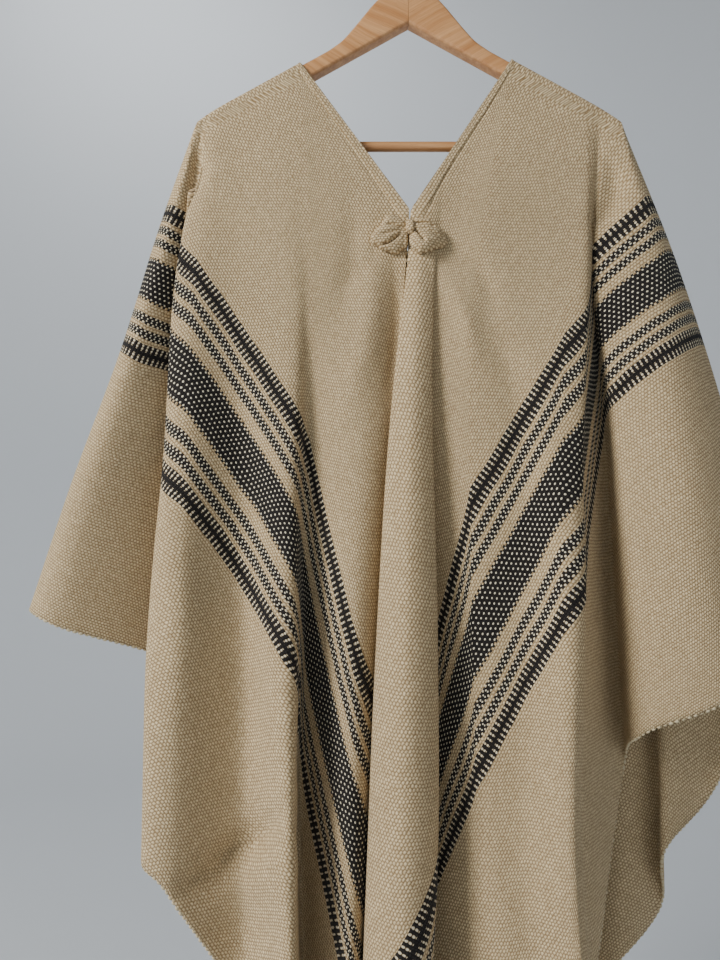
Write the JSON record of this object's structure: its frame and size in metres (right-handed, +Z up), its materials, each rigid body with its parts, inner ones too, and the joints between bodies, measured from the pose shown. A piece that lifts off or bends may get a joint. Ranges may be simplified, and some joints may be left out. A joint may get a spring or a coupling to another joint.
{
  "type": "woven poncho on a wooden coat hanger",
  "caption": "Slit-neck woven wool poncho with dark stripes and a small cloth bow, hung over a wooden coat hanger with a wire hook.",
  "frame": {"origin": "inner top of the hanger's hook, where it hangs on a peg or rail", "axes": "+Z up, -Y towards the garment's front, +X to the right as seen from the front"},
  "size_m": [0.7404, 0.1564, 1.2088],
  "materials": {
    "wool": "coarse matte two-tone wool weave with dark woven stripes",
    "wood": "satin varnished beech",
    "steel": "bright plated wire"
  },
  "bodies": {
    "root": {"left_panel": "wool", "right_panel": "wool", "bow_left_loop": "wool", "bow_right_loop": "wool", "bow_knot": "wool", "hanger_arm_left": "wood", "hanger_arm_right": "wood", "hanger_bar": "wood", "hanger_hook": "steel"}
  },
  "joints": []
}
